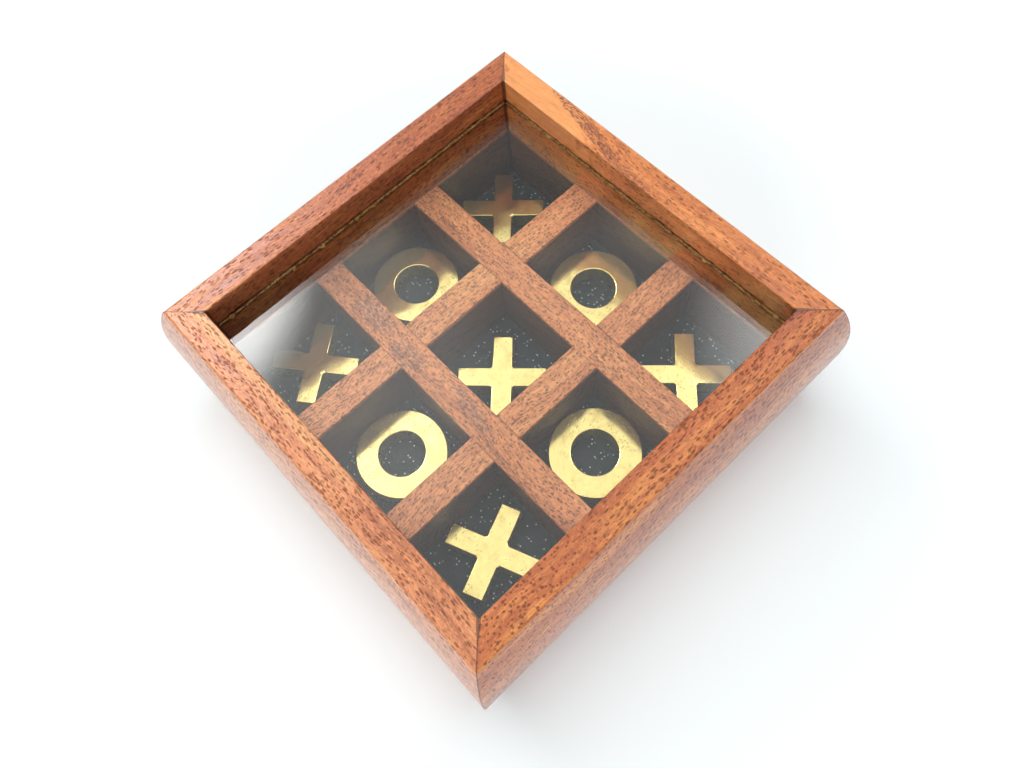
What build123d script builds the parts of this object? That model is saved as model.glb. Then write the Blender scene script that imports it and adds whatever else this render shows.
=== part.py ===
from build123d import *
from math import atan2, cos, hypot, radians, sin, sqrt
import os

# Square mitred box with a lift-off glazed lid, a nine-cell lattice and nine loose playing pieces.
# Millimetres, +Z up, origin at the bottom centre. Front is -Y, right is +X.

# Lattice and cells
cell_width = 23.5        # clear width of the centre cell
outer_cell_extra = 0.75  # how much wider a cell beside a wall is
bar_width = 7.5
cell_depth = 16.5        # felt to the top of the bars
halving_play = 0.05      # each side of a bar in its notch
bar_edge_radius = 0.3

# Tray
board_thickness = 4.0
board_seat = 3.0         # how far the board runs under the rails
board_play = 0.1
felt_thickness = 1.0
felt_play = 0.2
lip_thickness = 4.0
lip_height = 3.0         # the lip stands this far above the seam
foot_radius = 0.8
lip_edge_radius = 0.4

# Lid
top_face_width = 6.5
recess_depth = 7.0       # top face to the glass
glass_thickness = 2.0
glass_seat = 2.6         # glass held in the groove, each side
groove_play = 0.6        # above the glass
groove_end_play = 0.4    # beyond the edge of the glass
headroom = 8.5           # bar tops to the underside of the glass
seam_gap = 0.15
lip_side_play = 0.25
lip_top_play = 0.3
arris_radius = 0.5
inner_edge_radius = 0.3

# Cambered outside
camber = 4.0             # bulge beyond the top edge
camber_above_seam = 2.0  # widest level, above the seam

# Playing pieces
piece_thickness = 5.0
piece_play = 1.5         # a cell less the circle that a piece turns in
wall_gap = 0.2
felt_gap = 0.15
cross_arm_width = 4.9
cross_corner_radius = 0.8
nought_ring_width = 5.5
piece_bevel = 0.35

# Where each piece lies: cell column and row, share of the free play used in x and y, turn in degrees
crosses = [
    (-1, 1, -0.73, -0.12, 45.0),
    (-1, -1, -0.90, -0.20, 38.5),
    (0, 0, 0.80, -0.89, 45.0),
    (1, 1, 0.19, -0.80, 45.0),
    (1, -1, -0.64, -0.36, 23.0),
]
noughts = [
    (-1, 0, -0.90, 0.20),
    (0, 1, 0.50, -0.90),
    (0, -1, -0.90, -0.20),
    (1, 0, -1.00, 0.70),
]

# Levels above the ground
felt_bottom = board_thickness
felt_top = felt_bottom + felt_thickness
bar_top = felt_top + cell_depth
seam_level = bar_top - lip_height
glass_bottom = bar_top + headroom
glass_top = glass_bottom + glass_thickness
total_height = glass_top + recess_depth
camber_level = seam_level + camber_above_seam

# Distances from the centre line
inner_half = cell_width * 1.5 + bar_width + outer_cell_extra
arris_half = inner_half + top_face_width
widest_half = arris_half + camber
lip_half = inner_half + lip_thickness
bar_centre = (cell_width + bar_width) / 2
camber_rise = total_height - camber_level
camber_radius = (camber_rise ** 2 + camber ** 2) / (2 * camber)
piece_circle = cell_width - piece_play


def outside(level):
    """Distance of the cambered outside from the centre line at a level."""
    drop = level - camber_level
    return widest_half - camber_radius + sqrt(camber_radius ** 2 - drop ** 2)


def camber_arc(low, high):
    """Outer curve of a rail section between two levels, drawn upwards."""
    middle = (low + high) / 2
    return ThreePointArc((outside(low), low), (outside(middle), middle), (outside(high), high))


def eased(section, spots):
    """Rounds the corners of a section that lie at the given spots."""
    for x, y, radius in spots:
        corner = section.vertices().sort_by_distance((x, y, 0))[0]
        section = fillet(corner, radius)
    return section


def mitred(section, turn):
    """Runs a section along one side, cuts both ends at 45 degrees and turns it to its side."""
    reach = widest_half + 1
    run = Plane.XZ * section
    bar = extrude(run, amount=reach, both=True)
    wedge_outline = make_face(Polyline((0, 0), (reach, -reach), (reach, reach), (0, 0)))
    wedge = extrude(wedge_outline, amount=total_height)
    return Rot(0, 0, turn) * (bar & wedge)


def lid_rail(turn):
    low = seam_level + seam_gap
    rebate_half = lip_half + lip_side_play
    rebate_roof = bar_top + lip_top_play
    groove_half = inner_half + glass_seat + groove_end_play
    groove_top = glass_top + groove_play
    edge = Polyline(
        (outside(total_height), total_height),
        (inner_half, total_height),
        (inner_half, groove_top),
        (groove_half, groove_top),
        (groove_half, glass_bottom),
        (inner_half, glass_bottom),
        (inner_half, rebate_roof),
        (rebate_half, rebate_roof),
        (rebate_half, low),
        (outside(low), low),
    )
    section = make_face(camber_arc(low, total_height).edges() + edge.edges())
    section = eased(section, [
        (outside(total_height), total_height, arris_radius),
        (inner_half, total_height, inner_edge_radius),
    ])
    return mitred(section, turn)


def tray_rail(turn):
    board_half = inner_half + board_seat
    edge = Polyline(
        (outside(seam_level), seam_level),
        (lip_half, seam_level),
        (lip_half, bar_top),
        (inner_half, bar_top),
        (inner_half, board_thickness),
        (board_half, board_thickness),
        (board_half, 0),
        (outside(0), 0),
    )
    section = make_face(camber_arc(0, seam_level).edges() + edge.edges())
    section = eased(section, [
        (outside(0), 0, foot_radius),
        (lip_half, bar_top, lip_edge_radius),
    ])
    return mitred(section, turn)


def slab(half, low, thickness):
    """Square sheet centred on the box."""
    return Pos(0, 0, low) * Box(2 * half, 2 * half, thickness, align=(Align.CENTER, Align.CENTER, Align.MIN))


def base_board():
    return slab(inner_half + board_seat - board_play, 0, board_thickness)


def felt_lining():
    return slab(inner_half - felt_play, felt_bottom, felt_thickness)


def glass_pane():
    return slab(inner_half + glass_seat, glass_bottom, glass_thickness)


def lattice_bar(offset, notch_low):
    """Bar along X with two halving notches, cut from below or from above."""
    bar = Pos(0, 0, felt_top) * Box(
        2 * inner_half, bar_width, cell_depth, align=(Align.CENTER, Align.CENTER, Align.MIN))
    long_edges = bar.edges().filter_by(Axis.X).group_by(Axis.Z)[-1]
    bar = fillet(long_edges, bar_edge_radius)
    notch = Box(
        bar_width + 2 * halving_play, 2 * bar_width, cell_depth / 2,
        align=(Align.CENTER, Align.CENTER, Align.MIN))
    for side in (-1, 1):
        bar -= Pos(side * bar_centre, 0, notch_low) * notch
    return Pos(0, offset, 0) * bar


def bar_over(offset):
    return lattice_bar(offset, felt_top)


def bar_under(offset):
    return Rot(0, 0, 90) * lattice_bar(-offset, felt_top + cell_depth / 2)


def cell_span(place):
    """Low and high side of a cell along one axis, for column or row -1, 0 or 1."""
    if place == 0:
        return -cell_width / 2, cell_width / 2
    near = bar_centre + bar_width / 2
    return (near, inner_half) if place > 0 else (-inner_half, -near)


def placed(shape, half_extent, column, row, lean_x, lean_y):
    """Sets a piece on the felt of its cell, moved by its share of the free play."""
    spot = []
    for place, lean in ((column, lean_x), (row, lean_y)):
        low, high = cell_span(place)
        room = (high - low) / 2 - half_extent - wall_gap
        spot.append((low + high) / 2 + lean * room)
    return Pos(spot[0], spot[1], felt_top + felt_gap) * shape


def cross_span():
    """Tip to tip, so that the tip corners turn in the piece circle."""
    return sqrt(piece_circle ** 2 - cross_arm_width ** 2)


def cross_half_extent(turn):
    corner_angle = atan2(cross_arm_width, cross_span())
    reach = hypot(cross_span(), cross_arm_width) / 2
    angles = [radians(turn + 90 * quarter) + side * corner_angle for quarter in range(4) for side in (-1, 1)]
    return reach * max(abs(cos(angle)) for angle in angles)


def bevelled(outline):
    solid = extrude(outline, amount=piece_thickness)
    rims = solid.faces().sort_by(Axis.Z)
    return chamfer(rims[0].edges() + rims[-1].edges(), piece_bevel)


def cross(column, row, lean_x, lean_y, turn):
    arm = Rectangle(cross_span(), cross_arm_width)
    outline = arm + Rot(0, 0, 90) * arm
    inner = outline.vertices().sort_by_distance((0, 0, 0))[0:4]
    outline = fillet(inner, cross_corner_radius)
    solid = Rot(0, 0, turn) * bevelled(outline)
    return placed(solid, cross_half_extent(turn), column, row, lean_x, lean_y)


def nought(column, row, lean_x, lean_y):
    radius = piece_circle / 2
    outline = Circle(radius) - Circle(radius - nought_ring_width)
    return placed(bevelled(outline), radius, column, row, lean_x, lean_y)


def build():
    nodes = {}
    for side, turn in (("right", 0), ("back", 90), ("left", 180), ("front", 270)):
        nodes["lid_rail_" + side] = lid_rail(turn)
        nodes["tray_rail_" + side] = tray_rail(turn)
    nodes["glass_pane"] = glass_pane()
    nodes["base_board"] = base_board()
    nodes["felt_lining"] = felt_lining()
    nodes["lattice_bar_over_front"] = bar_over(-bar_centre)
    nodes["lattice_bar_over_back"] = bar_over(bar_centre)
    nodes["lattice_bar_under_left"] = bar_under(-bar_centre)
    nodes["lattice_bar_under_right"] = bar_under(bar_centre)
    for number, place in enumerate(crosses, 1):
        nodes["cross_%d" % number] = cross(*place)
    for number, place in enumerate(noughts, 1):
        nodes["nought_%d" % number] = nought(*place)
    return nodes


os.makedirs("parts", exist_ok=True)
for name, shape in build().items():
    export_step(shape, "parts/" + name + ".step")
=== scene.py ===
import math
import random
from typing import NamedTuple

import bpy
from mathutils import Matrix, Vector, noise


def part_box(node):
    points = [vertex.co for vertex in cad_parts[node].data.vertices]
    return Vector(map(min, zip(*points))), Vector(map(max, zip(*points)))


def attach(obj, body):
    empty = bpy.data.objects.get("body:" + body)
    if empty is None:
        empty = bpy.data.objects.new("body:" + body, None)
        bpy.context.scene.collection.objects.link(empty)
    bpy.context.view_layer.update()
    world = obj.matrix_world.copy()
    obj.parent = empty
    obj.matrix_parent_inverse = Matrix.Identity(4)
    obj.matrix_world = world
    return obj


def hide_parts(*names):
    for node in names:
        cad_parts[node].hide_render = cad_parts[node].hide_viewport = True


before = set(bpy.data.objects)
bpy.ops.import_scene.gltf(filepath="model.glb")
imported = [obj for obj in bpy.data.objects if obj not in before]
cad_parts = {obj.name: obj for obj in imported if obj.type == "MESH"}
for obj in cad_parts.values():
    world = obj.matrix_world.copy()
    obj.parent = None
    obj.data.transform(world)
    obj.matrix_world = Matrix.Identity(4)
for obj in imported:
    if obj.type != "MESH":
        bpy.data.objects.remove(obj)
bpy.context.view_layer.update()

bl_info = {
    "name": "Tic-tac-toe box",
    "version": (1, 0, 0),
    "blender": (4, 5, 0),
    "location": "3D View > Sidebar > Tic-tac-toe box",
    "description": "Dresses the wooden tic-tac-toe box: rails, lattice, felt, brass pieces and glass",
    "category": "Object",
}

MM = 0.001
# How near two levels, two places and two corners to merge are to each other
TINY = 0.01 * MM
TOUCH = 0.02 * MM
MERGE = 0.002 * MM

# Sizes read from the frame
LID_LOW, LID_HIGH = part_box("lid_rail_right")
TRAY_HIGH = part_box("tray_rail_right")[1]
BOARD_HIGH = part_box("base_board")[1]
FELT_LOW, FELT_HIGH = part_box("felt_lining")
GLASS_LOW, GLASS_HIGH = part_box("glass_pane")
OVER_LOW, OVER_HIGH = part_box("lattice_bar_over_front")
UNDER_LOW, UNDER_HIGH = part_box("lattice_bar_under_right")
INNER_HALF = LID_LOW.x
WIDEST_HALF = LID_HIGH.x

# Sizes of the rails' section that the frame's boxes don't give
CAMBER = 4 * MM
SEAM_LEVEL = 18.5 * MM
CAMBER_LEVEL = 20.5 * MM
LIP_HALF = 47.5 * MM
REBATE_HALF = 47.75 * MM
REBATE_ROOF = 21.8 * MM
GROOVE_HALF = 46.5 * MM
GROOVE_TOP = 32.6 * MM
BOARD_SEAT_HALF = 46.5 * MM
CAMBER_STEPS = 12
HALVING_PLAY = 0.05 * MM

# Sizes of the brass pieces, and each cross's turn in its cell, in degrees
CROSS_ARM_WIDTH = 4.9 * MM
CROSS_CORNER = 0.8 * MM
CROSS_TIP_ROUND = 0.25 * MM
CROSS_TURNS = (45.0, 38.5, 45.0, 45.0, 23.0)
NOUGHT_HOLE = 5.5 * MM
NOUGHT_SIDES = 96
NOUGHT_COUNT = 4
# The photograph's front ring is flattened towards the upper left
FLATTENED_NOUGHT = 3
PIECE_BEVEL = 0.35 * MM

# Rounded edges of the wood and the glass
FOOT_ROUND = 0.8 * MM
LIP_ROUND = 0.4 * MM
LID_INNER_ROUND = 0.3 * MM
SEAM_ROUND = 0.12 * MM
GLASS_ROUND = 0.2 * MM

# How finely the long pieces are divided, at most 100 cuts
TRAY_CUTS = 23
LID_CUTS = 100
FELT_CUTS = 100
KERF_CUTS = 100

# How long the waves of the torn lip, of the torn fibres and of the felt's nap are
TEAR_LENGTH = 6 * MM
FIBRE_LENGTH = 4 * MM
NAP_LENGTH = 2.5 * MM

# The torn fibres in the glass groove's mouth, which end this far from the corners
KERF_END = 0.5 * MM
KERF_SETBACK = 0.05 * MM
KERF_LIFT = 0.02 * MM
KERF_THICK = 0.48 * MM
KERF_HEIGHT = 0.2 * MM
SPLINTER_SHARE = 0.08

SIDES = {"right": 0.0, "back": 90.0, "left": 180.0, "front": 270.0}
OTHER_SIDES = ("back", "left", "front")

# The paper floor and the softboxes: place, size
FLOOR_SIZE = 6.0
FLOOR_GAP = 0.05 * MM
LIGHT_AIM = Vector((0, 0, 20)) * MM
SOFTBOX_LEFT = ((-0.50, -0.035, 0.48), 0.30)
SOFTBOX_TOP = ((-0.12, 0.05, 0.85), 0.9)
SOFTBOX_FRONT = ((0.62, -0.66, 0.22), 0.5)

ROOM_LEVEL = 1.26
# What glass and brass mirror of the white room: direction, inner and outer angle, strength added
ROOM_PATCHES = (
    ((-0.70, -0.05, 0.71), 6, 15, 23.0),
    ((-0.46, 0.04, 0.886), 5, 14, 0.8),
    ((-0.02, 0.56, 0.83), 3, 15, 5.0),
    ((-0.61, 0.47, 0.65), 14, 18.5, -0.55),
)

# The photograph's camera, fitted to the box's corners
CAMERA_PLACE = Vector((65.79, -43.49, 183.5)) * MM
CAMERA_RIGHT = Vector((0.68378, 0.72687, -0.06417))
CAMERA_DOWN = Vector((0.65577, -0.65069, -0.38285))
CAMERA_AHEAD = Vector((-0.32003, 0.2197, -0.92158))
CAMERA_SENSOR = 36.0
CAMERA_LENS = 27.83
CAMERA_SHIFT = (-0.0004, 0.0047)
CAMERA_NEAR = 1 * MM
CAMERA_FAR = 100.0

# Attributes of nodes that come up again and again
SMOOTH = {"interpolation_type": "SMOOTHSTEP"}
TIMES = {"operation": "MULTIPLY"}
MINUS = {"operation": "SUBTRACT"}
PLUS = {"operation": "ADD"}
TIMES_PLUS = {"operation": "MULTIPLY_ADD"}
SIZE = {"operation": "ABSOLUTE"}
LARGER = {"operation": "MAXIMUM"}
BLEND = {"data_type": "RGBA"}
BLEND_TIMES = {"data_type": "RGBA", "blend_type": "MULTIPLY"}

# The wood's patterns: cells per millimetre along, across and up the grain, detail and roughness
GRAIN_BEND = (0.03, 0.05, 0.05)
GRAIN_SWAY = (0.0, 7.0, 7.0)
WOOD_PATTERNS = (
    # Growth bands about 6 mm wide and 70 mm long
    ((0.014, 0.17, 0.17), 3.0, 0.6),
    # Streaks about 1.5 mm wide and 30 mm long
    ((0.035, 0.7, 0.7), 5.0, 0.62),
    # Fibre about 0.25 mm wide, as coarse as it needs to be to show
    ((0.3, 4.0, 4.0), 2.0, 0.6),
    # Mottle 1 to 2 mm across
    ((0.4, 0.95, 0.95), 3.0, 0.65),
    # Fine open texture, 0.3 to 0.8 mm
    ((1.1, 2.6, 2.6), 2.0, 0.7),
)
DOT_SCALE = (1.3, 1.6, 1.6)
DOT_AMOUNT = 0.52
# A patch with at least this share hides the pores under it
SOLID_SHARE = 0.85
ZONE_WOBBLE = 1.2


class Zone(NamedTuple):
    """A tinted patch of a board: an ellipsoid in the box's millimetres, turned in degrees."""

    middle: tuple
    radii: tuple
    turn: float
    tint: str = "#FFFFFF"
    share: float = 1.0


class Wood(NamedTuple):
    """One board: its grain's direction and place, its light, middle and dark tone, and its pores."""

    turn: float
    shift: tuple
    tone: tuple
    pore: str = "#5A3222"
    pore_amount: float = 0.55
    dash: tuple = (0.65, 2.2, 2.2)
    contrast: float = 1.0
    gloss: float = 0.42
    coat: float = 0.85
    zones: tuple = ()
    dots: Zone = None
    mitred: bool = False
    # Painted shade: half width and level, in millimetres, inside and under which the faces are darkened
    # where shade falls, and how much
    stained: tuple = None


ALONG_X = 0
ALONG_Y = -90
RAIL_BOARDS = {
    "left": Wood(
        ALONG_Y, (13, 0, 40), ("#CC8650", "#A85C34", "#723620"), "#482018", 0.56, contrast=1.25,
    ),
    "back": Wood(
        ALONG_X, (0, 0, 75), ("#E29658", "#C87840", "#944C2A"), "#5A2A1A", 0.46,
        zones=(
            Zone((-34, 47, 37), (19, 8, 7), -12, "#EE9F60", 0.9),
            Zone((-19.5, 47.4, 38), (16, 1.5, 6), -13, "#84492C", 0.8),
            Zone((-4, 44.2, 36), (12, 1.1, 6), -4, "#7E442A", 0.6),
            Zone((-10, 43.4, 34.5), (30, 1.5, 1.0), 0, "#B47A40", 0.35),
            # Painted light: a bright orange band along the back lid rail's inner face, which the light
            # falls on
            Zone((0, 43.4, 31), (46, 1.0, 7), 0, "#F09058", 0.6),
        ),
    ),
    "right": Wood(
        ALONG_Y, (60, 0, 20), ("#D08648", "#AC5C2E", "#7C3A20"), "#481C12", 0.64, (0.75, 2.2, 2.2),
        contrast=1.1, dots=Zone((48, -40, 36), (14, 26, 14), 0),
    ),
    "front": Wood(
        ALONG_X, (30, 0, 5), ("#E8A872", "#CA8256", "#9A5638"), "#5C2C1E", 0.6, (0.7, 2.5, 2.5),
        zones=(Zone((-20, -44.8, 38), (34, 1.5, 5), 0, "#E0AE74", 0.4),),
    ),
}
# Painted shade, faint on the left lid rail's inner face and deep down the tray's inner walls: half width,
# level and how much
LID_LEFT_PAINTED_SHADE = (INNER_HALF / MM + 0.2, LID_HIGH.z / MM - 0.3, 0.12)
TRAY_PAINTED_SHADE = (INNER_HALF / MM + 0.3, TRAY_HIGH.z / MM - 0.2, 0.8)
TRAY_SHIFT = 11

# The bars' faces below their tops are darkened with painted shade
BAR_BOARD = Wood(
    ALONG_X, (17, 0, 31), ("#F0A46E", "#DC8858", "#9C5636"), "#542A1E", 0.6, (1.1, 3.0, 3.0),
    gloss=0.5, coat=0.0, stained=(INNER_HALF / MM + 1.0, OVER_HIGH.z / MM - 0.3, 0.8),
)
BAR_BOARDS = {
    "over_front": BAR_BOARD._replace(
        shift=(17, 0, 3),
        zones=(
            Zone((-26.5, -14.6, 21.5), (6.0, 3.4, 3), 0, "#7E5852", 0.55),
            Zone((-13.0, -16.4, 21.5), (5.0, 2.8, 3), 10, "#7A524C", 0.6),
            Zone((8.0, -15.0, 21.5), (7.0, 1.7, 3), -10, "#805A54", 0.5),
        ),
    ),
    "over_back": BAR_BOARD,
    "under_right": BAR_BOARD._replace(turn=ALONG_Y, shift=(5, 0, 61)),
    "under_left": BAR_BOARD._replace(turn=ALONG_Y, shift=(40, 0, 90)),
}
PLAIN_BOARD = Wood(ALONG_X, (8, 3, 50), ("#C8946C", "#B98059", "#99623F"), pore_amount=0.4, gloss=0.55)


def srgb(digits):
    """The three sRGB parts, 0 to 1, of a hex string."""
    return [int(digits[i : i + 2], 16) / 255 for i in (1, 3, 5)]


def linear(colour):
    """The linear colour, with alpha, of an sRGB hex string or an sRGB triple."""
    if isinstance(colour, str):
        colour = srgb(colour)
    parts = [c / 12.92 if c <= 0.04045 else ((c + 0.055) / 1.055) ** 2.4 for c in colour]
    return (*parts, 1.0)


def colour_prop(name, description, colour):
    """A colour property whose default is an sRGB hex string."""
    return bpy.props.FloatVectorProperty(
        name=name, description=description, default=srgb(colour),
        subtype="COLOR_GAMMA", size=3, min=0.0, max=1.0,
    )


class BoxSizes(bpy.types.PropertyGroup):
    """Small sizes of the finish that the CAD model doesn't have."""

    mitre_gap: bpy.props.FloatProperty(
        name="Mitre gap", description="Open joint between two rails, each side",
        default=0.01 * MM, min=0.0, max=0.5 * MM, unit="LENGTH",
    )
    kerf_rough: bpy.props.FloatProperty(
        name="Kerf roughness", description="How far the sawn lip above the glass is torn",
        default=0.3 * MM, min=0.0, max=0.6 * MM, unit="LENGTH",
    )
    rail_bevel: bpy.props.FloatProperty(
        name="Outer arris", description="Rounding of the lid's outer top edge",
        default=0.5 * MM, min=0.1 * MM, max=1 * MM, unit="LENGTH",
    )
    bar_bevel: bpy.props.FloatProperty(
        name="Bar edge", description="Rounding of the lattice bars' edges",
        default=0.3 * MM, min=0.05 * MM, max=0.6 * MM, unit="LENGTH",
    )
    felt_nap: bpy.props.FloatProperty(
        name="Felt nap", description="How uneven the felt's face is",
        default=0.06 * MM, min=0.0, max=0.2 * MM, unit="LENGTH",
    )


class BoxColours(bpy.types.PropertyGroup):
    """Colours of the finishes."""

    joint: colour_prop("Mitre joint", "Dark glue line of the rails' joints", "#4A281C")
    # Painted shade: a near-black brown painted on the faces inside the frame below its top, where shade
    # falls
    stain: colour_prop("Stain", "Stain and dirt on the faces down in the cells", "#1E1311")
    kerf_dark: colour_prop("Kerf, dark", "Dark fibres torn by the saw", "#463420")
    kerf_pale: colour_prop("Kerf, pale", "Pale fibres torn by the saw", "#AC8854")
    felt: colour_prop("Felt", "Dyed wool felt", "#252E33")
    dust: colour_prop("Dust", "Specks of dust on the felt", "#D8D8D2")
    brass: colour_prop("Brass", "Polished brass", "#F8DE92")
    tarnish: colour_prop("Tarnish", "Dark brass in the pits", "#8C6A3C")
    paper: colour_prop("Paper", "White paper of the floor", "#EAF2F4")


class BoxLights(bpy.types.PropertyGroup):
    """Strengths of the studio light."""

    sky: bpy.props.FloatProperty(
        name="Room light", description="Level of the even light from all round",
        default=0.22, min=0.0, max=3.0,
    )
    overhead: bpy.props.FloatProperty(
        name="Overhead", description="Power of the large softbox overhead",
        default=6.8, min=0.0, max=50.0, unit="POWER",
    )
    front: bpy.props.FloatProperty(
        name="Front", description="Power of the low softbox on the camera's side",
        default=5.0, min=0.0, max=50.0, unit="POWER",
    )
    softbox: bpy.props.FloatProperty(
        name="Softbox", description="Power of the softbox to the left",
        default=0.7, min=0.0, max=20.0, unit="POWER",
    )


def settings():
    """The scene's sizes, colours and lights."""
    scene = bpy.context.scene
    return scene.box_sizes, scene.box_colours, scene.box_lights


# Materials


def add(tree, kind, *values, named=None, **attributes):
    """Adds one node, sets its attributes, and sets or links its inputs.

    The values fill the open inputs in order, and named fills inputs by their names. A value that is
    itself a node is linked by its first open output.
    """
    node = tree.nodes.new("ShaderNode" + kind)
    for name, value in attributes.items():
        setattr(node, name, value)
    filled = list(zip([socket for socket in node.inputs if socket.enabled], values))
    filled += [(node.inputs[name], value) for name, value in (named or {}).items()]
    for socket, value in filled:
        if isinstance(value, bpy.types.Node):
            value = next(output for output in value.outputs if output.enabled)
        if isinstance(value, bpy.types.NodeSocket):
            tree.links.new(value, socket)
        else:
            socket.default_value = value
    return node


def new_material(name):
    """An empty node material and its tree."""
    material = bpy.data.materials.new(name)
    material.use_nodes = True
    tree = material.node_tree
    tree.nodes.clear()
    return material, tree


def millimetres(tree):
    """The piece's own coordinates in millimetres."""
    place = add(tree, "TexCoord").outputs["Object"]
    return add(tree, "VectorMath", place, (1 / MM,) * 3, **TIMES)


def inside_zone(tree, place, zone, wobble):
    """1 inside the zone's ellipsoid, 0 outside, with an uneven edge."""
    local = add(tree, "VectorMath", place, zone.middle, **MINUS)
    local = add(tree, "Mapping", local, named={"Rotation": (0, 0, math.radians(-zone.turn))})
    local = add(tree, "VectorMath", local, [1 / r for r in zone.radii], **TIMES)
    reach = add(tree, "VectorMath", local, operation="LENGTH")
    uneven = add(tree, "Math", add(tree, "TexNoise", place, 0.35, 3.0), 0.5, **MINUS)
    reach = add(tree, "Math", uneven, wobble, reach, **TIMES_PLUS)
    return add(tree, "MapRange", reach, 1.15, 0.75, **SMOOTH)


def pore_mask(tree, grain, scale, amount, soft):
    """1 in the pores, one to a cell and each with its own chance of being large."""
    cell = add(tree, "TexVoronoi", add(tree, "VectorMath", grain, scale, **TIMES), 1.0)
    chance = add(tree, "SeparateColor", cell.outputs["Color"])
    reach = add(tree, "Math", chance, amount, **TIMES)
    return add(tree, "MapRange", add(tree, "Math", cell, reach, **MINUS), 0.12, -soft, **SMOOTH)


def speck_mask(tree, place, scale, channel, size, chance):
    """1 in small round specks on the level faces, in some of the cells."""
    cell = add(tree, "TexVoronoi", place, scale, voronoi_dimensions="2D")
    picked = add(tree, "SeparateColor", cell.outputs["Color"]).outputs[channel]
    spot = add(tree, "MapRange", cell, *size, **SMOOTH)
    return add(tree, "Math", spot, add(tree, "MapRange", picked, *chance, **SMOOTH), **TIMES)


def faces_up(tree):
    """How far the face's own normal points up."""
    normal = add(tree, "NewGeometry").outputs["True Normal"]
    return add(tree, "SeparateXYZ", normal).outputs["Z"]


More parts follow.
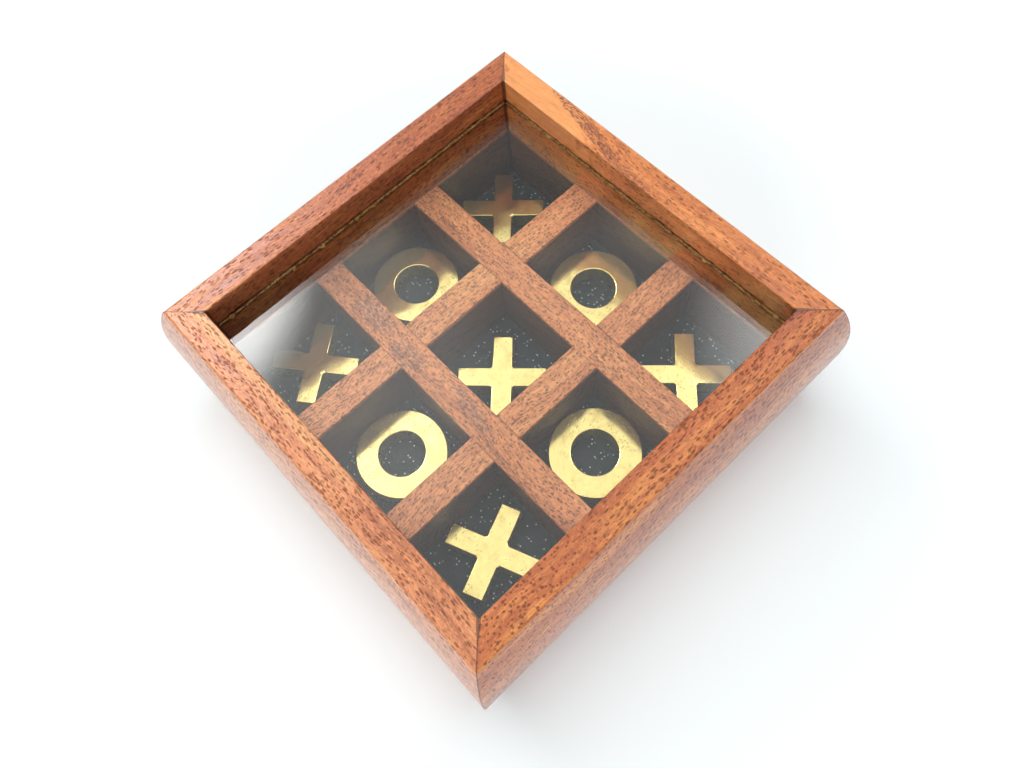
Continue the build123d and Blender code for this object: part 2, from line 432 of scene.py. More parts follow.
def hardwood(name, wood):
    """Open-pored red-brown hardwood, planed, sanded and oiled.

    The eye sees long streaks a few millimetres wide, dark pores drawn out into dashes 1 to 2 mm long
    along the grain, a fine fibre under them, and a soft sheen on faces seen at a low angle.
    """
    colours = settings()[1]
    material, tree = new_material(name)
    place = millimetres(tree)
    grain = add(tree, "Mapping", place, wood.shift, (0, 0, math.radians(wood.turn)))
    bend = add(tree, "TexNoise", add(tree, "VectorMath", grain, GRAIN_BEND, **TIMES), 1.0, 1.0)
    grain = add(tree, "VectorMath", bend.outputs["Color"], GRAIN_SWAY, grain, **TIMES_PLUS)
    band, streak, fibre, mottle, texture = (
        add(tree, "TexNoise", add(tree, "VectorMath", grain, scale, **TIMES), 1.0, detail, rough)
        for scale, detail, rough in WOOD_PATTERNS
    )

    # The figure runs from dark over the middle tone to light
    level = add(tree, "Math", band, 0.55, add(tree, "Math", streak, 0.45, **TIMES), **TIMES_PLUS)
    spread = 0.17 / wood.contrast
    light, middle, dark = (linear(tone) for tone in wood.tone)
    share = add(tree, "MapRange", level, 0.5 - spread, 0.5, **SMOOTH)
    colour = add(tree, "Mix", share, dark, middle, **BLEND)
    share = add(tree, "MapRange", level, 0.5, 0.5 + spread, **SMOOTH)
    colour = add(tree, "Mix", share, colour, light, **BLEND)
    share = add(tree, "MapRange", mottle, 0.52, 0.30, 0.0, 0.55, **SMOOTH)
    colour = add(tree, "Mix", share, colour, dark, **BLEND)
    share = add(tree, "MapRange", texture, 0.46, 0.3, 0.0, 0.6, **SMOOTH)
    colour = add(tree, "Mix", share, colour, dark, **BLEND)
    share = add(tree, "MapRange", texture, 0.54, 0.7, 0.0, 0.5, **SMOOTH)
    colour = add(tree, "Mix", share, colour, light, **BLEND)

    clear = None
    for zone in wood.zones:
        inside = inside_zone(tree, place, zone, ZONE_WOBBLE)
        share = add(tree, "Math", inside, zone.share, **TIMES)
        if zone.share >= SOLID_SHARE:
            clear = add(tree, "Math", clear, inside, **LARGER) if clear else inside
        else:
            speckle = add(tree, "MapRange", texture, 0.56, 0.42, 0.25, 1.3, **SMOOTH)
            share = add(tree, "Math", share, speckle, **TIMES)
        figure = add(tree, "MapRange", level, 0.3, 0.7, 0.8, 1.2, **SMOOTH)
        shade = add(tree, "Mix", 1.0, linear(zone.tint), figure, **BLEND_TIMES)
        colour = add(tree, "Mix", share, colour, shade, **BLEND)
    fleck = add(tree, "MapRange", fibre, 0.3, 0.7, 0.86, 1.14, **SMOOTH)
    colour = add(tree, "Mix", 1.0, colour, fleck, **BLEND_TIMES)

    pores = pore_mask(tree, grain, wood.dash, wood.pore_amount, 0.16)
    if wood.dots:
        # Here the grain comes up to the face, and the pores are cut across
        dotted = pore_mask(tree, grain, DOT_SCALE, DOT_AMOUNT, 0.12)
        share = inside_zone(tree, place, wood.dots, 1.0)
        pores = add(tree, "Mix", share, pores, dotted)
    if clear:
        kept = add(tree, "MapRange", clear, 0.0, 1.0, 1.0, 0.15)
        pores = add(tree, "Math", pores, kept, **TIMES)
    share = add(tree, "Math", pores, 0.68, **TIMES)
    colour = add(tree, "Mix", share, colour, linear(wood.pore), **BLEND)

    if wood.mitred or wood.stained:
        axes = add(tree, "SeparateXYZ", place)
        across, along = (add(tree, "Math", axes.outputs[axis], **SIZE) for axis in ("X", "Y"))
    if wood.mitred:
        # A dark joint that opens a little at the inner corner
        inner = INNER_HALF / MM
        opening = add(tree, "MapRange", across, inner + 3.5, inner, 0.0, 0.45, **SMOOTH)
        off = add(tree, "Math", add(tree, "Math", across, along, **MINUS), **SIZE)
        off = add(tree, "Math", off, opening, **MINUS)
        share = add(tree, "MapRange", off, 0.28, 0.08, 0.0, 0.8, **SMOOTH)
        colour = add(tree, "Mix", share, colour, linear(colours.joint), **BLEND)

    # The outer sides are polished by handling, the tops are only sanded
    polish = wood.coat
    if wood.coat:
        polish = add(tree, "MapRange", faces_up(tree), 0.9, 0.55, wood.coat * 0.1, wood.coat, **SMOOTH)
    if wood.stained:
        # Painted shade: the faces down in the cells, inside the half width and under the level, are
        # darkened towards the shade colour where shade falls, and lose their coat
        half, top, depth = wood.stained
        widest = add(tree, "Math", across, along, **LARGER)
        within = add(tree, "MapRange", widest, half + 0.1, half - 0.1, **SMOOTH)
        under = add(tree, "MapRange", axes.outputs["Z"], top, top - 1.2, **SMOOTH)
        down = add(tree, "Math", within, under, **TIMES)
        share = add(tree, "Math", down, depth, **TIMES)
        colour = add(tree, "Mix", share, colour, linear(colours.stain), **BLEND)
        if wood.coat:
            polish = add(tree, "Math", polish, add(tree, "Math", 1.0, down, **MINUS), **TIMES)

    even = add(tree, "MapRange", streak, 0.3, 0.7, wood.gloss - 0.05, wood.gloss + 0.07, **SMOOTH)
    rough = add(tree, "Math", pores, 0.25, even, **TIMES_PLUS)
    sunk = add(tree, "Math", pores, 0.8, **TIMES)
    height = add(tree, "Math", add(tree, "Math", fibre, 0.3, **TIMES), sunk, **MINUS)
    bump = add(tree, "Bump", named={"Height": height, "Strength": 0.6, "Distance": 0.12 * MM})
    surface = add(
        tree, "BsdfPrincipled",
        named={
            "Base Color": colour, "Roughness": rough, "Normal": bump, "IOR": 1.5,
            "Coat Weight": polish, "Coat Roughness": 0.25,
        },
    )
    add(tree, "OutputMaterial", surface)
    return material


def wool_felt(name):
    """Dyed wool felt, pressed: a near-black matted nap with lighter hairs and specks of dust."""
    colours = settings()[1]
    material, tree = new_material(name)
    place = millimetres(tree)
    nap = add(tree, "TexNoise", place, 3.2, 4.0, 0.7)
    cloud = add(tree, "TexNoise", place, 0.22, 2.0)
    base = linear(colours.felt)
    pale = tuple(min(1.0, c * 2.2 + 0.008) for c in base[:3]) + (1.0,)
    tint = add(tree, "Mix", add(tree, "MapRange", nap, 0.42, 0.72, **SMOOTH), base, pale, **BLEND)
    worn = add(tree, "MapRange", cloud, 0.3, 0.7, 0.8, 1.25, **SMOOTH)
    tint = add(tree, "Mix", 1.0, tint, worn, **BLEND_TIMES)
    dust = speck_mask(tree, place, 1.15, "Green", size=(0.27, 0.14), chance=(0.74, 0.98))
    tint = add(tree, "Mix", dust, tint, linear(colours.dust), **BLEND)
    bump = add(tree, "Bump", named={"Height": nap, "Strength": 0.7, "Distance": 0.15 * MM})
    surface = add(
        tree, "BsdfPrincipled",
        named={
            "Base Color": tint, "Roughness": 0.95, "Normal": bump,
            "Sheen Weight": 0.03, "Sheen Roughness": 0.5,
        },
    )
    add(tree, "OutputMaterial", surface)
    return material


def polished_brass(name):
    """Cast brass, filed and polished: bright tops with faint scratches and pits, softer sides."""
    colours = settings()[1]
    material, tree = new_material(name)
    place = millimetres(tree)
    cloud = add(tree, "TexNoise", place, 0.35, 3.0, 0.6)
    scratches = add(tree, "VectorMath", place, (0.35, 6.0, 1.0), **TIMES)
    scratches = add(tree, "TexNoise", scratches, 1.0, 2.0)
    up = faces_up(tree)
    pits = speck_mask(tree, place, 1.2, "Red", size=(0.22, 0.1), chance=(0.66, 0.8))
    pits = add(tree, "Math", pits, add(tree, "MapRange", up, 0.6, 0.95, **SMOOTH), **TIMES)
    bright = linear(colours.brass)
    dull = tuple(c * f for c, f in zip(bright[:3], (0.86, 0.82, 0.72))) + (1.0,)
    tint = add(tree, "Mix", add(tree, "MapRange", cloud, 0.4, 0.75, **SMOOTH), bright, dull, **BLEND)
    tint = add(tree, "Mix", add(tree, "Math", pits, 0.6, **TIMES), tint, linear(colours.tarnish), **BLEND)
    side = add(tree, "MapRange", up, 0.9, 0.5, 0.0, 0.14, **SMOOTH)
    rough = add(tree, "MapRange", cloud, 0.35, 0.7, 0.13, 0.22, **SMOOTH)
    rough = add(tree, "Math", rough, side, **PLUS)
    height = add(tree, "Math", add(tree, "Math", scratches, 0.25, **TIMES), pits, **MINUS)
    # Hand filing leaves the tops wavy over 5 to 10 mm, so their reflections bend
    wave = add(tree, "TexNoise", place, 0.13, 1.0)
    height = add(tree, "Math", height, 0.12, wave, **TIMES_PLUS)
    bump = add(tree, "Bump", named={"Height": height, "Strength": 1.0, "Distance": 0.15 * MM})
    surface = add(
        tree, "BsdfPrincipled",
        named={"Base Color": tint, "Metallic": 1.0, "Roughness": rough, "Normal": bump},
    )
    add(tree, "OutputMaterial", surface)
    return material


def raw_fibre(name):
    """Torn raw hardwood in the saw cut: pale straw and olive fibres, dusty and dull."""
    colours = settings()[1]
    material, tree = new_material(name)
    place = millimetres(tree)
    torn = add(tree, "TexNoise", place, 1.6, 3.0, 0.7)
    share = add(tree, "MapRange", torn, 0.35, 0.6, **SMOOTH)
    tint = add(tree, "Mix", share, linear(colours.kerf_dark), linear(colours.kerf_pale), **BLEND)
    surface = add(tree, "BsdfPrincipled", named={"Base Color": tint, "Roughness": 0.85})
    add(tree, "OutputMaterial", surface)
    return material


def window_glass(name):
    """Thin float glass: clear, a mirror at low angles, faintly green in its edge."""
    material, tree = new_material(name)
    surface = add(
        tree, "BsdfPrincipled",
        named={"Base Color": linear("#FBFFFC"), "Roughness": 0.0, "IOR": 1.45, "Transmission Weight": 1.0},
    )
    # Lamps reach the pieces under the glass, which a plain glass shader would keep from them
    path = add(tree, "LightPath")
    passing = add(tree, "Math", path.outputs["Is Shadow Ray"], path.outputs["Is Diffuse Ray"], **LARGER)
    open_way = add(tree, "BsdfTransparent", linear("#F6FAF7"))
    add(tree, "OutputMaterial", add(tree, "MixShader", passing, surface, open_way))
    return material


def studio_floor(name):
    """White paper sweep that keeps the box's soft shadow, with a painted glow seen by the camera and in
    mirrors, faint near the box, so painted shade deepens the floor round it.
    """
    material, tree = new_material(name)
    place = millimetres(tree)
    paper = add(tree, "BsdfDiffuse", linear(settings()[1].paper))
    path = add(tree, "LightPath")
    seen = add(tree, "Math", path.outputs["Is Glossy Ray"], path.outputs["Is Transmission Ray"], **LARGER)
    seen = add(tree, "Math", path.outputs["Is Camera Ray"], seen, **LARGER)
    # Painted light and shade: the glow is faint within 85 mm of the box's axis and full past 230 mm, so
    # the floor is painted darker round the box, over its real shadow, and whiter beyond
    reach = add(tree, "VectorMath", place, operation="LENGTH")
    level = add(tree, "MapRange", reach, 85, 230, 0.08, 1.0, **SMOOTH)
    painted_floor_glow = add(tree, "Emission", linear("#FFFFFF"), add(tree, "Math", seen, level, **TIMES))
    add(tree, "OutputMaterial", add(tree, "AddShader", paper, painted_floor_glow))
    return material


# Modelling helpers


def select_only(piece=None):
    """Object mode, with this piece alone selected and active, or none."""
    if bpy.context.mode != "OBJECT":
        bpy.ops.object.mode_set(mode="OBJECT")
    bpy.ops.object.select_all(action="DESELECT")
    if piece:
        bpy.context.view_layer.objects.active = piece
        piece.select_set(True)


def edit(piece):
    """Edit mode on this piece alone, with nothing selected in it."""
    select_only(piece)
    bpy.ops.object.mode_set(mode="EDIT")
    bpy.ops.mesh.select_mode(type="VERT")
    bpy.ops.mesh.select_all(action="DESELECT")


def extrude(way):
    """Extrudes what is selected, in edit mode, and moves it this way."""
    bpy.ops.mesh.extrude_region_move(TRANSFORM_OT_translate={"value": way})


def turn_outward():
    """All normals outward, in edit mode."""
    bpy.ops.mesh.select_all(action="SELECT")
    bpy.ops.mesh.normals_make_consistent(inside=False)


def mark_edges(piece, picked):
    """Selects, in edit mode, the edges for which picked(edge) is true."""
    bpy.ops.mesh.select_mode(type="EDGE")
    bpy.ops.mesh.select_all(action="DESELECT")
    bpy.ops.object.mode_set(mode="OBJECT")
    count = 0
    for edge in piece.data.edges:
        edge.select = picked(edge)
        count += edge.select
    bpy.ops.object.mode_set(mode="EDIT")
    if not count:
        raise RuntimeError(f"{piece.name}: no edge chosen")


def choose_edges(piece, test):
    """Selects, in edit mode, the edges for which test(first corner, second corner) is true."""
    mark_edges(piece, lambda edge: test(*(piece.data.vertices[i].co for i in edge.vertices)))


def bevel_chosen(width, segments):
    """Rounds the chosen edges."""
    bpy.ops.mesh.bevel(
        offset=width, offset_type="OFFSET", segments=segments, affect="EDGES", clamp_overlap=True,
    )


def added(name):
    """The piece just added, named."""
    piece = bpy.context.object
    piece.name = name
    piece.data.name = name
    return piece


def drawn_face(name, points):
    """Draws a closed outline by extruding one corner from point to point, and fills it."""
    select_only()
    bpy.ops.mesh.primitive_plane_add(size=MM, location=(0, 0, 0))
    piece = added(name)
    edit(piece)
    bpy.ops.mesh.select_all(action="SELECT")
    bpy.ops.mesh.merge(type="CENTER")
    bpy.ops.transform.translate(value=points[0])
    for before, after in zip(points, points[1:]):
        bpy.ops.mesh.extrude_vertices_move(TRANSFORM_OT_translate={"value": after - before})
    bpy.ops.mesh.select_all(action="SELECT")
    bpy.ops.mesh.edge_face_add()
    return piece


def apply_place(piece):
    """Puts the piece's place in its mesh."""
    select_only(piece)
    bpy.ops.object.transform_apply(location=True, rotation=True, scale=True)


def finish_piece(piece, body, material, replaced, angle=30.0):
    """Place in the mesh, normals outward, smooth by angle, material, body and slot."""
    edit(piece)
    bpy.ops.mesh.select_all(action="SELECT")
    bpy.ops.mesh.remove_doubles(threshold=MERGE)
    turn_outward()
    apply_place(piece)
    bpy.ops.object.shade_smooth_by_angle(angle=math.radians(angle))
    # Flat faces keep their own normal and the rounded edges turn between them
    weight = piece.modifiers.new("Face weight", "WEIGHTED_NORMAL")
    weight.keep_sharp = True
    bpy.ops.object.modifier_apply(modifier=weight.name)
    piece.data.materials.clear()
    piece.data.materials.append(material)
    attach(piece, body)
    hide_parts(*replaced)


def copy_turned(piece, name, degrees=0.0):
    """A copy with its own mesh, turned about the box's axis, with its place in its mesh."""
    select_only(piece)
    bpy.ops.object.duplicate(linked=False)
    other = added(name)
    other.rotation_euler.z = math.radians(degrees)
    apply_place(other)
    return other


# The rails' two sections, as (distance from the box's axis, height)


def outside(height):
    """Half width of the box's cambered outside at this height."""
    rise = LID_HIGH.z - CAMBER_LEVEL
    radius = (rise * rise + CAMBER * CAMBER) / (2 * CAMBER)
    drop = height - CAMBER_LEVEL
    return WIDEST_HALF - radius + math.sqrt(radius * radius - drop * drop)


def camber_points(low, high):
    """Points up the cambered side."""
    steps = [low + (high - low) * i / CAMBER_STEPS for i in range(CAMBER_STEPS + 1)]
    return [(outside(z), z) for z in steps]


def lid_section():
    """The lid rail: cambered side, flat top, glass groove and the rebate over the tray's lip."""
    low, top = LID_LOW.z, LID_HIGH.z
    return camber_points(low, top) + [
        (INNER_HALF, top),
        (INNER_HALF, GROOVE_TOP),
        (GROOVE_HALF, GROOVE_TOP),
        (GROOVE_HALF, GLASS_LOW.z),
        (INNER_HALF, GLASS_LOW.z),
        (INNER_HALF, REBATE_ROOF),
        (REBATE_HALF, REBATE_ROOF),
        (REBATE_HALF, low),
    ]


def tray_section():
    """The tray rail: cambered side, raised lip and the rebate for the base board."""
    lip = TRAY_HIGH.z
    return camber_points(0.0, SEAM_LEVEL) + [
        (LIP_HALF, SEAM_LEVEL),
        (LIP_HALF, lip),
        (INNER_HALF, lip),
        (INNER_HALF, BOARD_HIGH.z),
        (BOARD_SEAT_HALF, BOARD_HIGH.z),
        (BOARD_SEAT_HALF, 0.0),
    ]


def mitred_rails(part, section, rounded, cuts):
    """A frame's four rails, by side.

    The right-hand rail's section is drawn in the mitre plane and carried to the other mitre, and its
    long edges are rounded. The other three rails are turned copies.
    """
    gap = settings()[0].mitre_gap
    rail = drawn_face(f"wood_{part}_right", [Vector((u, -(u - gap), z)) for u, z in section])
    extrude((0, 0, 0))
    bpy.ops.transform.resize(value=(1, -1, 1), center_override=(0, 0, 0))
    turn_outward()
    for (u, z), width, segments in rounded:
        choose_edges(rail, lambda a, b: a.y * b.y < 0 and abs(a.x - u) < TOUCH and abs(a.z - z) < TOUCH)
        bevel_chosen(width, segments)
    choose_edges(rail, lambda a, b: a.y * b.y < 0)
    bpy.ops.mesh.subdivide(number_cuts=cuts)
    select_only(rail)
    return {"right": rail} | {
        side: copy_turned(rail, f"wood_{part}_{side}", SIDES[side]) for side in OTHER_SIDES
    }


def tear_kerf(piece, degrees, seed):
    """Tears the sawn lip above the glass: chips and small splinters along its edge."""
    rough = settings()[0].kerf_rough
    rand = random.Random(seed)
    turn = Matrix.Rotation(math.radians(-degrees), 3, "Z")
    back = Matrix.Rotation(math.radians(degrees), 3, "Z")
    for vertex in piece.data.vertices:
        place = turn @ vertex.co
        if abs(place.z - GROOVE_TOP) > TOUCH or abs(place.x - INNER_HALF) > TOUCH:
            continue
        if abs(abs(place.y) - INNER_HALF) < KERF_END:
            continue
        run = noise.noise(Vector((place.y / TEAR_LENGTH, seed, 0.0)))
        place.z += rough * (0.9 + 0.9 * run + rand.uniform(-1.0, 0.9) * (0.5 + abs(run)))
        place.x += rough * rand.uniform(0.0, 0.5)
        vertex.co = back @ place


def kerf_fibres(name, degrees, seed):
    """A ragged strip of raw fibres that stands in the groove's mouth, on the glass."""
    rand = random.Random(seed)
    middle = INNER_HALF - KERF_SETBACK
    foot = GLASS_HIGH.z + KERF_LIFT
    length = 2 * (INNER_HALF - KERF_END)
    select_only()
    bpy.ops.mesh.primitive_plane_add(size=length, location=(middle, 0, foot))
    piece = added(name)
    edit(piece)
    bpy.ops.mesh.select_all(action="SELECT")
    bpy.ops.transform.resize(value=(KERF_THICK / length, 1, 1), center_override=piece.location)
    choose_edges(piece, lambda a, b: abs(a.x - b.x) < TINY)
    bpy.ops.mesh.subdivide(number_cuts=KERF_CUTS)
    bpy.ops.mesh.select_all(action="SELECT")
    extrude((0, 0, KERF_HEIGHT))
    apply_place(piece)
    for vertex in piece.data.vertices:
        if vertex.co.z < foot + KERF_HEIGHT / 2:
            continue
        run = noise.noise(Vector((vertex.co.y / FIBRE_LENGTH, seed, 0.0)))
        vertex.co.z += KERF_HEIGHT * (run + rand.uniform(-0.8, 0.6))
        if vertex.co.x < middle and rand.random() < SPLINTER_SHARE:
            # A splinter that leans out over the glass
            vertex.co.x -= rand.uniform(0.3, 0.9) * MM
            vertex.co.z += rand.uniform(0.0, 0.25) * MM
    piece.rotation_euler.z = math.radians(degrees)
    return piece


def notched_bar(name, half_length, width, notched, plain, notch):
    """A bar along X on the box's axis, with two notches from its notched edge to the notch's level."""
    centre = (UNDER_LOW.x + UNDER_HIGH.x) / 2
    half_notch = (UNDER_HIGH.x - UNDER_LOW.x) / 2 + HALVING_PLAY
    near, far = centre - half_notch, centre + half_notch
    outline = (
        (-half_length, plain), (half_length, plain), (half_length, notched),
        (far, notched), (far, notch), (near, notch), (near, notched),
        (-near, notched), (-near, notch), (-far, notch), (-far, notched), (-half_length, notched),
    )
    piece = drawn_face(name, [Vector((x, -width / 2, z)) for x, z in outline])
    extrude((0, width, 0))
    turn_outward()
    top = max(notched, plain) - MM / 10
    choose_edges(piece, lambda a, b: abs(a.y - b.y) < TINY and min(a.z, b.z) > top)
    bevel_chosen(settings()[0].bar_bevel, 3)
    select_only(piece)
    return piece


def set_in_cell(piece, node, brass, degrees=0.0):
    """Sets a brass piece, modelled on the axis, in its node's place."""
    low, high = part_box(node)
    piece.location = ((low.x + high.x) / 2, (low.y + high.y) / 2, low.z)
    piece.rotation_euler.z = math.radians(degrees)
    finish_piece(piece, f"{node}_piece", brass, [node], angle=35.0)


class BOX_OT_base_board(bpy.types.Operator):
    """Give the base board its plain wood"""

    bl_idname = "tictactoe.base_board"
    bl_label = "Base board"

    def execute(self, context):
        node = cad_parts["base_board"]
        material = hardwood("plain_hardwood_board", PLAIN_BOARD)
        if not node.material_slots:
            node.data.materials.append(material)
        for spot in node.material_slots:
            spot.material = material
        return {"FINISHED"}


class BOX_OT_tray_rails(bpy.types.Operator):
    """Model the tray's four mitred rails with their raised lip"""

    bl_idname = "tictactoe.tray_rails"
    bl_label = "Tray rails"

    def execute(self, context):
        lip = TRAY_HIGH.z
        rounded = (
            ((outside(0.0), 0.0), FOOT_ROUND, 4),
            ((LIP_HALF, lip), LIP_ROUND, 3),
            ((INNER_HALF, lip), LIP_ROUND, 3),
            ((outside(SEAM_LEVEL), SEAM_LEVEL), SEAM_ROUND, 2),
        )
        for side, piece in mitred_rails("tray", tray_section(), rounded, TRAY_CUTS).items():
            board = RAIL_BOARDS[side]
            # The tray's rails are from the same boards, further along
            shift = tuple(s + TRAY_SHIFT for s in board.shift)
            # The tray's inner walls get painted shade below the lip
            board = board._replace(shift=shift, zones=(), dots=None, mitred=True, stained=TRAY_PAINTED_SHADE)
            material = hardwood(f"oiled_hardwood_tray_{side}", board)
            finish_piece(piece, "tray", material, [f"tray_rail_{side}"])
        return {"FINISHED"}


class BOX_OT_lid_rails(bpy.types.Operator):
    """Model the lid's four mitred rails with their glass groove and torn kerf"""

    bl_idname = "tictactoe.lid_rails"
    bl_label = "Lid rails"

    def execute(self, context):
        rounded = (
            ((outside(LID_HIGH.z), LID_HIGH.z), settings()[0].rail_bevel, 4),
            ((INNER_HALF, LID_HIGH.z), LID_INNER_ROUND, 3),
            ((outside(LID_LOW.z), LID_LOW.z), SEAM_ROUND, 2),
        )
        pieces = mitred_rails("lid", lid_section(), rounded, LID_CUTS)
        for seed, (side, piece) in enumerate(pieces.items(), 11):
            tear_kerf(piece, SIDES[side], seed)
            # Only the left lid rail gets painted shade, on its inner face, which faces away from the light
            stained = LID_LEFT_PAINTED_SHADE if side == "left" else None
            board = RAIL_BOARDS[side]._replace(mitred=True, stained=stained)
            material = hardwood(f"oiled_hardwood_lid_{side}", board)
            finish_piece(piece, "lid", material, [f"lid_rail_{side}"])
        fibre = raw_fibre("torn_raw_hardwood")
        for seed, side in enumerate(("back", "left"), 31):
            strip = kerf_fibres(f"wood_kerf_{side}", SIDES[side], seed)
            finish_piece(strip, "lid", fibre, [])
        return {"FINISHED"}


class BOX_OT_lattice(bpy.types.Operator):
    """Model the four halved lattice bars that divide the board into nine cells"""

    bl_idname = "tictactoe.lattice"
    bl_label = "Lattice bars"

    def execute(self, context):
        low, high = OVER_LOW.z, OVER_HIGH.z
        middle = (low + high) / 2
        sizes = (OVER_HIGH.x, OVER_HIGH.y - OVER_LOW.y)
        over = notched_bar("wood_bar_over_front", *sizes, low, high, middle + HALVING_PLAY)
        over_copy = copy_turned(over, "wood_bar_over_back")
        under = notched_bar("wood_bar_under_left", *sizes, high, low, middle - HALVING_PLAY)
        under_copy = copy_turned(under, "wood_bar_under_right")
        row = (OVER_LOW.y + OVER_HIGH.y) / 2
        column = (UNDER_LOW.x + UNDER_HIGH.x) / 2
        bars = {
            "over_front": (over, (0, row, 0), 0),
            "over_back": (over_copy, (0, -row, 0), 0),
            "under_right": (under_copy, (column, 0, 0), 90),
            "under_left": (under, (-column, 0, 0), 90),
        }
        for name, (piece, place, turn) in bars.items():
            piece.location = place
            piece.rotation_euler.z = math.radians(turn)
            material = hardwood(f"fine_hardwood_lattice_bar_{name}", BAR_BOARDS[name])
            finish_piece(piece, "tray", material, [f"lattice_bar_{name}"])
        return {"FINISHED"}


class BOX_OT_felt(bpy.types.Operator):
    """Lay the felt lining on the base board"""

    bl_idname = "tictactoe.felt"
    bl_label = "Felt lining"

    def execute(self, context):
        nap = settings()[0].felt_nap
        width = 2 * FELT_HIGH.x
        select_only()
        bpy.ops.mesh.primitive_plane_add(size=width, location=(0, 0, FELT_HIGH.z))
        piece = added("felt_lining_cloth")
        edit(piece)
        bpy.ops.mesh.select_all(action="SELECT")
        bpy.ops.mesh.subdivide(number_cuts=FELT_CUTS)
        apply_place(piece)
        for vertex in piece.data.vertices:
            lift = noise.fractal(vertex.co / NAP_LENGTH, 0.7, 2.0, 3)
            vertex.co.z += nap * (min(0.0, lift) - 0.1)
        solid = piece.modifiers.new("Thickness", "SOLIDIFY")
        solid.thickness = FELT_HIGH.z - FELT_LOW.z - 2 * nap
        solid.offset = -1
        bpy.ops.object.modifier_apply(modifier=solid.name)
        finish_piece(piece, "tray", wool_felt("dyed_wool_felt"), ["felt_lining"])
        return {"FINISHED"}


class BOX_OT_glass(bpy.types.Operator):
    """Model the glass pane of the lid"""

    bl_idname = "tictactoe.glass"
    bl_label = "Glass pane"

    def execute(self, context):
        size = GLASS_HIGH - GLASS_LOW
        select_only()
        bpy.ops.mesh.primitive_plane_add(size=size.x, location=(0, 0, GLASS_LOW.z))
        piece = added("glass_lid_pane")
        edit(piece)
        bpy.ops.mesh.select_all(action="SELECT")
        extrude((0, 0, size.z))
        choose_edges(piece, lambda a, b: abs(a.z - b.z) < TINY)
        bevel_chosen(GLASS_ROUND, 2)
        finish_piece(piece, "lid", window_glass("clear_float_glass"), ["glass_pane"], angle=5.0)
        return {"FINISHED"}


class BOX_OT_crosses(bpy.types.Operator):
    """Model the five brass crosses"""

    bl_idname = "tictactoe.crosses"
    bl_label = "Crosses"

    def execute(self, context):
        arm = CROSS_ARM_WIDTH
        low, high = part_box("cross_1")
        half = ((high.x - low.x) * math.sqrt(2) - arm) / 2
        select_only()
        bpy.ops.mesh.primitive_plane_add(size=arm, location=(0, 0, 0))
        first = added("brass_cross_1")
        edit(first)
        for way in (Vector((1, 0, 0)), Vector((0, 1, 0)), Vector((-1, 0, 0)), Vector((0, -1, 0))):
            choose_edges(first, lambda a, b: ((a + b) / 2 - way * arm / 2).length < TINY)
            extrude(way * (half - arm / 2))
        bpy.ops.mesh.select_all(action="SELECT")
        extrude((0, 0, high.z - low.z))
        turn_outward()
        inner = arm / math.sqrt(2)
        choose_edges(first, lambda a, b: abs(a.z - b.z) > MM and abs(a.xy.length - inner) < TOUCH)
        bevel_chosen(CROSS_CORNER, 4)
        choose_edges(first, lambda a, b: abs(a.z - b.z) > MM and a.xy.length > half - TOUCH)
        bevel_chosen(CROSS_TIP_ROUND, 2)
        select_only(first)
        # The outline's edges have a flat face on one side only
        level = [key for face in first.data.polygons if abs(face.normal.z) > 0.9 for key in face.edge_keys]
        outline = {key for key in level if level.count(key) == 1}
        edit(first)
        mark_edges(first, lambda edge: edge.key in outline)
        bevel_chosen(PIECE_BEVEL, 3)
        select_only(first)
        brass = polished_brass("polished_brass_crosses")
        pieces = [first] + [copy_turned(first, f"brass_cross_{i}") for i in range(2, len(CROSS_TURNS) + 1)]
        for number, (piece, turn) in enumerate(zip(pieces, CROSS_TURNS), 1):
            set_in_cell(piece, f"cross_{number}", brass, turn)
        return {"FINISHED"}


class BOX_OT_noughts(bpy.types.Operator):
    """Model the four brass noughts, each a little out of round"""

    bl_idname = "tictactoe.noughts"
    bl_label = "Noughts"

    def execute(self, context):
        low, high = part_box("nought_1")
        wider = (high.x - low.x) / 2 / NOUGHT_HOLE
        select_only()
        bpy.ops.mesh.primitive_circle_add(
            vertices=NOUGHT_SIDES, radius=NOUGHT_HOLE, fill_type="NOTHING", location=(0, 0, 0),
        )
        first = added("brass_nought_1")
        edit(first)
        bpy.ops.mesh.select_all(action="SELECT")
        extrude((0, 0, 0))
        bpy.ops.transform.resize(value=(wider, wider, 1), center_override=(0, 0, 0))
        bpy.ops.mesh.select_all(action="SELECT")
        extrude((0, 0, high.z - low.z))
        turn_outward()
        # The edges that run round, on the inner and the outer rim
        choose_edges(
            first, lambda a, b: abs(a.z - b.z) < TINY and abs(a.xy.length - b.xy.length) < TINY,
        )
        bevel_chosen(PIECE_BEVEL, 3)
        select_only(first)
        brass = polished_brass("polished_brass_noughts")
        pieces = [first] + [copy_turned(first, f"brass_nought_{i}") for i in range(2, NOUGHT_COUNT + 1)]
        rand = random.Random(5)
        for number, piece in enumerate(pieces, 1):
            second, third = rand.uniform(0, 6.28), rand.uniform(0, 6.28)
            for vertex in piece.data.vertices:
                angle = math.atan2(vertex.co.y, vertex.co.x)
                pull = 1 - 0.006 * (1 + math.sin(2 * angle + second))
                pull -= 0.004 * (1 + math.sin(3 * angle + third))
                if number == FLATTENED_NOUGHT:
                    toward = math.cos(angle - math.radians(165))
                    pull -= 0.035 * max(0.0, toward - 0.8) / 0.2
                vertex.co.x *= pull
                vertex.co.y *= pull
            set_in_cell(piece, f"nought_{number}", brass)
        return {"FINISHED"}


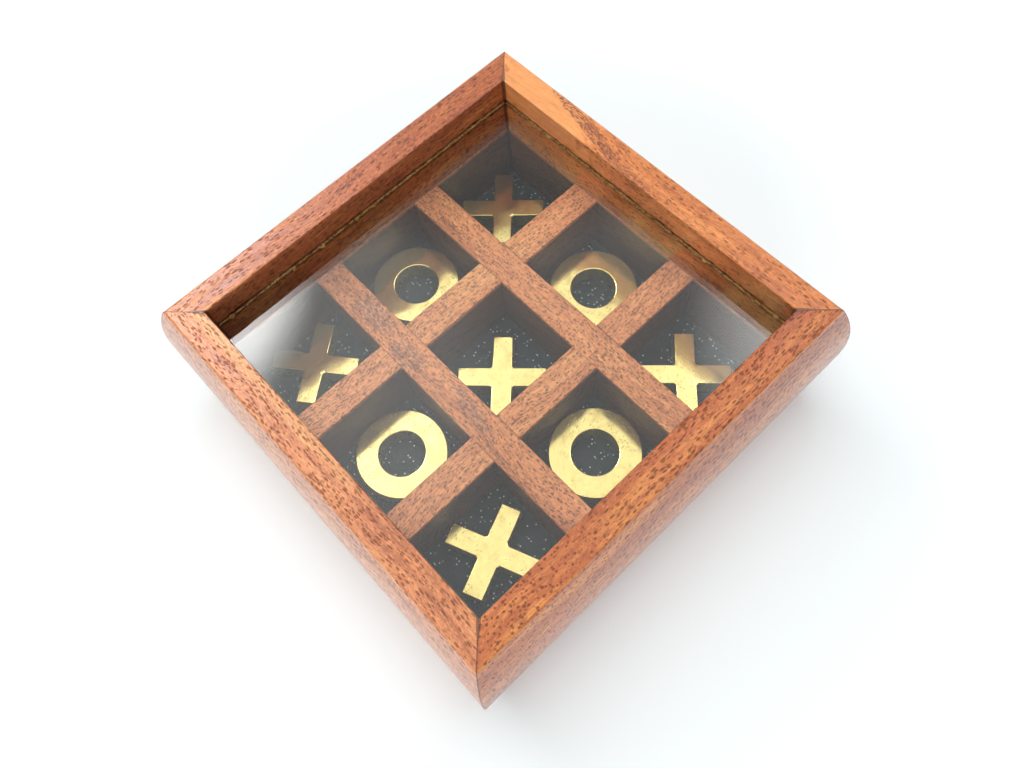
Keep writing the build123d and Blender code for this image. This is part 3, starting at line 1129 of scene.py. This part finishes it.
def softbox(name, place, size, power):
    """A square softbox that points at the middle of the box."""
    turn = (LIGHT_AIM - Vector(place)).to_track_quat("-Z", "Y").to_euler()
    bpy.ops.object.light_add(type="AREA", location=place, rotation=turn)
    lamp = added(name)
    lamp.data.shape = "SQUARE"
    lamp.data.size = size
    lamp.data.energy = power
    # The room's patches stand for the lamps in mirrors, with soft edges
    lamp.visible_glossy = False
    lamp.visible_transmission = False


def white_room(sky):
    """The world: white to the camera, even light on the box, and a brighter room in its mirrors."""
    world = bpy.data.worlds.new("white_room")
    world.use_nodes = True
    tree = world.node_tree
    tree.nodes.clear()
    way = add(tree, "TexCoord").outputs["Generated"]
    room = ROOM_LEVEL
    for direction, inner, outer, strength in ROOM_PATCHES:
        along = add(tree, "VectorMath", way, Vector(direction).normalized(), operation="DOT_PRODUCT")
        rim, core = (math.cos(math.radians(angle)) for angle in (outer, inner))
        patch = add(tree, "MapRange", along, rim, core, 0.0, strength, **SMOOTH)
        room = add(tree, "Math", room, patch, **PLUS)
    path = add(tree, "LightPath").outputs
    mirrored = add(tree, "Math", path["Is Glossy Ray"], path["Is Transmission Ray"], **LARGER)
    level = add(tree, "Mix", mirrored, sky, room)
    level = add(tree, "Mix", path["Is Camera Ray"], level, 1.0)
    add(tree, "OutputWorld", add(tree, "Background", linear("#FFFFFF"), level))
    return world


class BOX_OT_stage(bpy.types.Operator):
    """Set up the camera, the white floor and the studio light"""

    bl_idname = "tictactoe.stage"
    bl_label = "Stage"

    def execute(self, context):
        scene = context.scene
        select_only()
        bpy.ops.object.camera_add(location=CAMERA_PLACE)
        camera = added("camera_photo")
        axes = Matrix((CAMERA_RIGHT, -CAMERA_DOWN, -CAMERA_AHEAD)).transposed()
        camera.matrix_world = Matrix.Translation(CAMERA_PLACE) @ axes.to_4x4()
        camera.data.sensor_width = CAMERA_SENSOR
        camera.data.lens = CAMERA_LENS
        camera.data.shift_x, camera.data.shift_y = CAMERA_SHIFT
        camera.data.clip_start = CAMERA_NEAR
        camera.data.clip_end = CAMERA_FAR
        scene.camera = camera

        bpy.ops.mesh.primitive_grid_add(
            x_subdivisions=8, y_subdivisions=8, size=FLOOR_SIZE, location=(0, 0, -FLOOR_GAP),
        )
        floor = added("stage_floor")
        floor.data.materials.append(studio_floor("white_paper_sweep"))

        lights = settings()[2]
        softbox("softbox_left", *SOFTBOX_LEFT, lights.softbox)
        softbox("softbox_top", *SOFTBOX_TOP, lights.overhead)
        softbox("softbox_front", *SOFTBOX_FRONT, lights.front)
        scene.world = white_room(lights.sky)
        scene.view_settings.view_transform = "Standard"
        return {"FINISHED"}


PIECE_OPERATORS = (
    BOX_OT_base_board, BOX_OT_tray_rails, BOX_OT_felt, BOX_OT_lattice, BOX_OT_crosses, BOX_OT_noughts,
    BOX_OT_lid_rails, BOX_OT_glass, BOX_OT_stage,
)


class BOX_PT_panel(bpy.types.Panel):
    """The box's pieces and settings"""

    bl_idname = "BOX_PT_panel"
    bl_label = "Tic-tac-toe box"
    bl_space_type = "VIEW_3D"
    bl_region_type = "UI"
    bl_category = "Tic-tac-toe box"

    def draw(self, context):
        for title, group in (("Sizes", "box_sizes"), ("Colours", "box_colours"), ("Light", "box_lights")):
            block = self.layout.box()
            block.label(text=title)
            values = getattr(context.scene, group)
            for name in values.bl_rna.properties.keys():
                if name not in {"rna_type", "name"}:
                    block.prop(values, name)
        column = self.layout.column()
        for operator in PIECE_OPERATORS:
            column.operator(operator.bl_idname)


CLASSES = (BoxSizes, BoxColours, BoxLights, *PIECE_OPERATORS, BOX_PT_panel)


def register():
    for item in CLASSES:
        bpy.utils.register_class(item)
    bpy.types.Scene.box_sizes = bpy.props.PointerProperty(type=BoxSizes)
    bpy.types.Scene.box_colours = bpy.props.PointerProperty(type=BoxColours)
    bpy.types.Scene.box_lights = bpy.props.PointerProperty(type=BoxLights)


def unregister():
    del bpy.types.Scene.box_lights
    del bpy.types.Scene.box_colours
    del bpy.types.Scene.box_sizes
    for item in reversed(CLASSES):
        bpy.utils.unregister_class(item)


def main():
    """Builds every piece and the stage."""
    register()
    for operator in PIECE_OPERATORS:
        kind, name = operator.bl_idname.split(".")
        getattr(getattr(bpy.ops, kind), name)()


if __name__ == "__main__":
    main()
